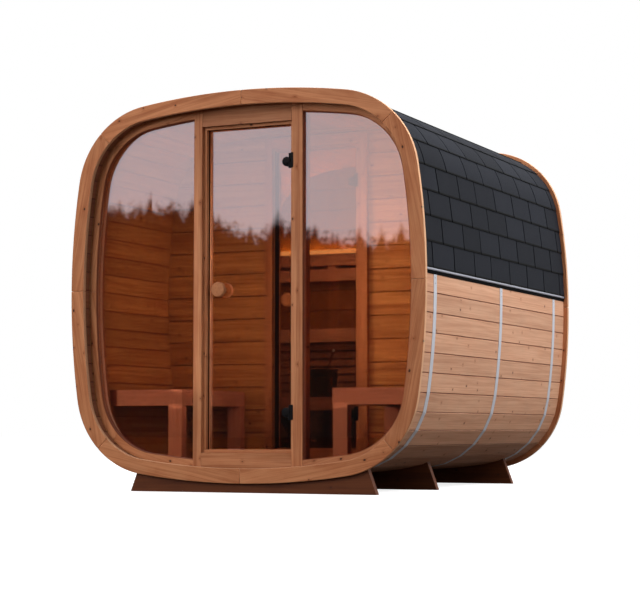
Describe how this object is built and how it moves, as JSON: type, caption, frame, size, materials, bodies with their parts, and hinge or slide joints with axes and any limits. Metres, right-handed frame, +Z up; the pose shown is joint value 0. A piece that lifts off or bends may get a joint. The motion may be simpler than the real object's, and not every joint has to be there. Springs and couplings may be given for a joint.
{
  "type": "garden sauna",
  "caption": "Rounded square-barrel garden sauna with a bronze glass front, hinged glass door, open vestibule with benches, glass partition door and hot room.",
  "frame": {"origin": "bottom centre of the whole building, on the ground", "axes": "+Z up, glass front facing -Y, +X to the right seen from the front"},
  "size_m": [2.316, 2.678, 2.3535],
  "materials": {
    "ring_wood": "oiled spruce, satin",
    "stave_wood": "oiled spruce, satin",
    "frame_wood": "oiled spruce, satin",
    "wall_wood": "oiled spruce, satin",
    "bench_wood": "planed aspen, smooth",
    "room_wood": "planed aspen, smooth",
    "floor_wood": "planed spruce, matt",
    "cradle_wood": "impregnated spruce, matt",
    "knob_wood": "turned wood, satin",
    "shingle": "mineral-coated bitumen, matt",
    "eave_metal": "matt dark grey",
    "strap_steel": "galvanised",
    "pane": "bronze tinted, clear",
    "leaf_pane": "bronze tinted, clear",
    "fitting_black": "matt black",
    "bucket_black": "satin black"
  },
  "bodies": {
    "cabin": {"cradles": "cradle_wood", "shell_right": "stave_wood", "shell_left": "stave_wood", "shell_top": "stave_wood", "shell_bottom": "stave_wood", "shell_corners_top": "stave_wood", "shell_corners_bottom": "stave_wood", "front_ring_a": "ring_wood", "front_ring_b": "ring_wood", "rear_ring_a": "ring_wood", "rear_ring_b": "ring_wood", "steel_straps": "strap_steel", "roof_right": "shingle", "roof_left": "shingle", "eave_strips": "eave_metal", "front_posts": "frame_wood", "front_header": "frame_wood", "front_sill": "frame_wood", "front_lining": "frame_wood", "window_frames": "frame_wood", "window_glass": "pane", "door_hinges": "fitting_black", "inner_posts": "frame_wood", "inner_header": "frame_wood", "inner_sill": "frame_wood", "inner_lining": "frame_wood", "partition_left": "wall_wood", "partition_right": "wall_wood", "partition_top": "wall_wood", "rear_wall": "wall_wood", "vestibule_floor": "floor_wood", "hot_room_floor": "floor_wood", "vestibule_bench_left": "bench_wood", "vestibule_bench_right": "bench_wood", "upper_bench": "room_wood", "lower_bench": "room_wood", "backrest": "room_wood", "bucket": "bucket_black", "ladle": "knob_wood"},
    "outer_door": {"outer_door_glass": "leaf_pane", "outer_door_knobs": "knob_wood", "outer_door_clamps": "fitting_black"},
    "inner_door": {"inner_door_glass": "leaf_pane", "inner_door_knobs": "knob_wood", "inner_door_clamps": "fitting_black"}
  },
  "joints": [
    {"name": "outer_door_hinge", "type": "hinge", "parent": "cabin", "child": "outer_door", "pos_m": [0.266, -1.231, 0.461], "axis": [0, 0, 1], "range_deg": [0, 95]},
    {"name": "inner_door_hinge", "type": "hinge", "parent": "cabin", "child": "inner_door", "pos_m": [0.266, -0.294, 0.461], "axis": [0, 0, 1], "range_deg": [0, 95]}
  ]
}
